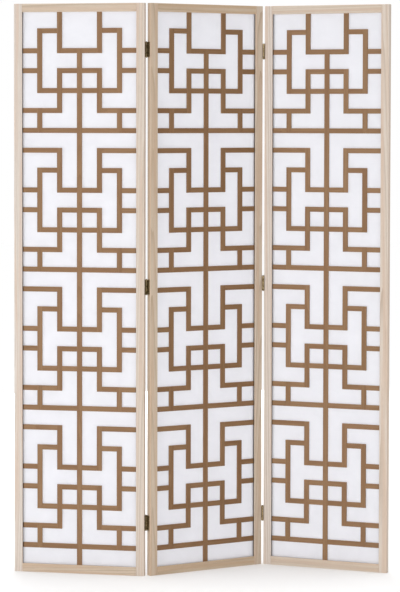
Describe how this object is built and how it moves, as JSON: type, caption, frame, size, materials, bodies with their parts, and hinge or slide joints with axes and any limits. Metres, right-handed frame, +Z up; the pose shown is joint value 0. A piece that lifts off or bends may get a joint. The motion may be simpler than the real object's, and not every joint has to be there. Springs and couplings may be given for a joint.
{
  "type": "folding screen",
  "caption": "Free-standing folding screen of hinged wood-framed panels, each with a geometric wood lattice over white paper, standing in a zigzag.",
  "frame": {"origin": "on the floor, under the middle of the bounding box of the screen as it stands in its zigzag", "axes": "+Z up along the panels' height, +X to the right seen from the front (the lattice side), +Y from the front to the back"},
  "size_m": [1.1228, 0.2382, 1.7],
  "materials": {
    "frame_wood": "light unfinished softwood, fine straight grain, matte",
    "lattice_wood": "mid-brown stained wood, fine grain, satin matte",
    "paper": "white fibrous paper, matte and slightly translucent",
    "hinge_brass": "antique brass, dark and dull, rubbed lighter on the barrel",
    "screw": "antique brass, satin"
  },
  "bodies": {
    "middle_panel": {"middle_left_stile": "frame_wood", "middle_right_stile": "frame_wood", "middle_top_rail": "frame_wood", "middle_bottom_rail": "frame_wood", "middle_lattice": "lattice_wood", "middle_paper": "paper", "left_upper_hinge_middle_leaf": "hinge_brass", "left_upper_hinge_middle_screw_top": "screw", "left_upper_hinge_middle_screw_bottom": "screw", "left_centre_hinge_middle_leaf": "hinge_brass", "left_centre_hinge_middle_screw_top": "screw", "left_centre_hinge_middle_screw_bottom": "screw", "left_lower_hinge_middle_leaf": "hinge_brass", "left_lower_hinge_middle_screw_top": "screw", "left_lower_hinge_middle_screw_bottom": "screw", "right_upper_hinge_middle_leaf": "hinge_brass", "right_upper_hinge_middle_screw_top": "screw", "right_upper_hinge_middle_screw_bottom": "screw", "right_centre_hinge_middle_leaf": "hinge_brass", "right_centre_hinge_middle_screw_top": "screw", "right_centre_hinge_middle_screw_bottom": "screw", "right_lower_hinge_middle_leaf": "hinge_brass", "right_lower_hinge_middle_screw_top": "screw", "right_lower_hinge_middle_screw_bottom": "screw", "left_upper_hinge_pin": "hinge_brass", "left_centre_hinge_pin": "hinge_brass", "left_lower_hinge_pin": "hinge_brass", "right_upper_hinge_pin": "hinge_brass", "right_centre_hinge_pin": "hinge_brass", "right_lower_hinge_pin": "hinge_brass"},
    "left_panel": {"left_left_stile": "frame_wood", "left_right_stile": "frame_wood", "left_top_rail": "frame_wood", "left_bottom_rail": "frame_wood", "left_lattice": "lattice_wood", "left_paper": "paper", "left_upper_hinge_wing_leaf": "hinge_brass", "left_upper_hinge_wing_screw_top": "screw", "left_upper_hinge_wing_screw_bottom": "screw", "left_centre_hinge_wing_leaf": "hinge_brass", "left_centre_hinge_wing_screw_top": "screw", "left_centre_hinge_wing_screw_bottom": "screw", "left_lower_hinge_wing_leaf": "hinge_brass", "left_lower_hinge_wing_screw_top": "screw", "left_lower_hinge_wing_screw_bottom": "screw"},
    "right_panel": {"right_left_stile": "frame_wood", "right_right_stile": "frame_wood", "right_top_rail": "frame_wood", "right_bottom_rail": "frame_wood", "right_lattice": "lattice_wood", "right_paper": "paper", "right_upper_hinge_wing_leaf": "hinge_brass", "right_upper_hinge_wing_screw_top": "screw", "right_upper_hinge_wing_screw_bottom": "screw", "right_centre_hinge_wing_leaf": "hinge_brass", "right_centre_hinge_wing_screw_top": "screw", "right_centre_hinge_wing_screw_bottom": "screw", "right_lower_hinge_wing_leaf": "hinge_brass", "right_lower_hinge_wing_screw_top": "screw", "right_lower_hinge_wing_screw_bottom": "screw"}
  },
  "joints": [
    {"name": "left_fold", "type": "hinge", "parent": "middle_panel", "child": "left_panel", "pos_m": [-0.16478, -0.09882, 0.86], "axis": [0, 0, 1], "range_deg": [-134.6, 45.4]},
    {"name": "right_fold", "type": "hinge", "parent": "middle_panel", "child": "right_panel", "pos_m": [0.18633, 0.10046, 0.86], "axis": [0, 0, 1], "range_deg": [-122.9, 57.1]}
  ]
}
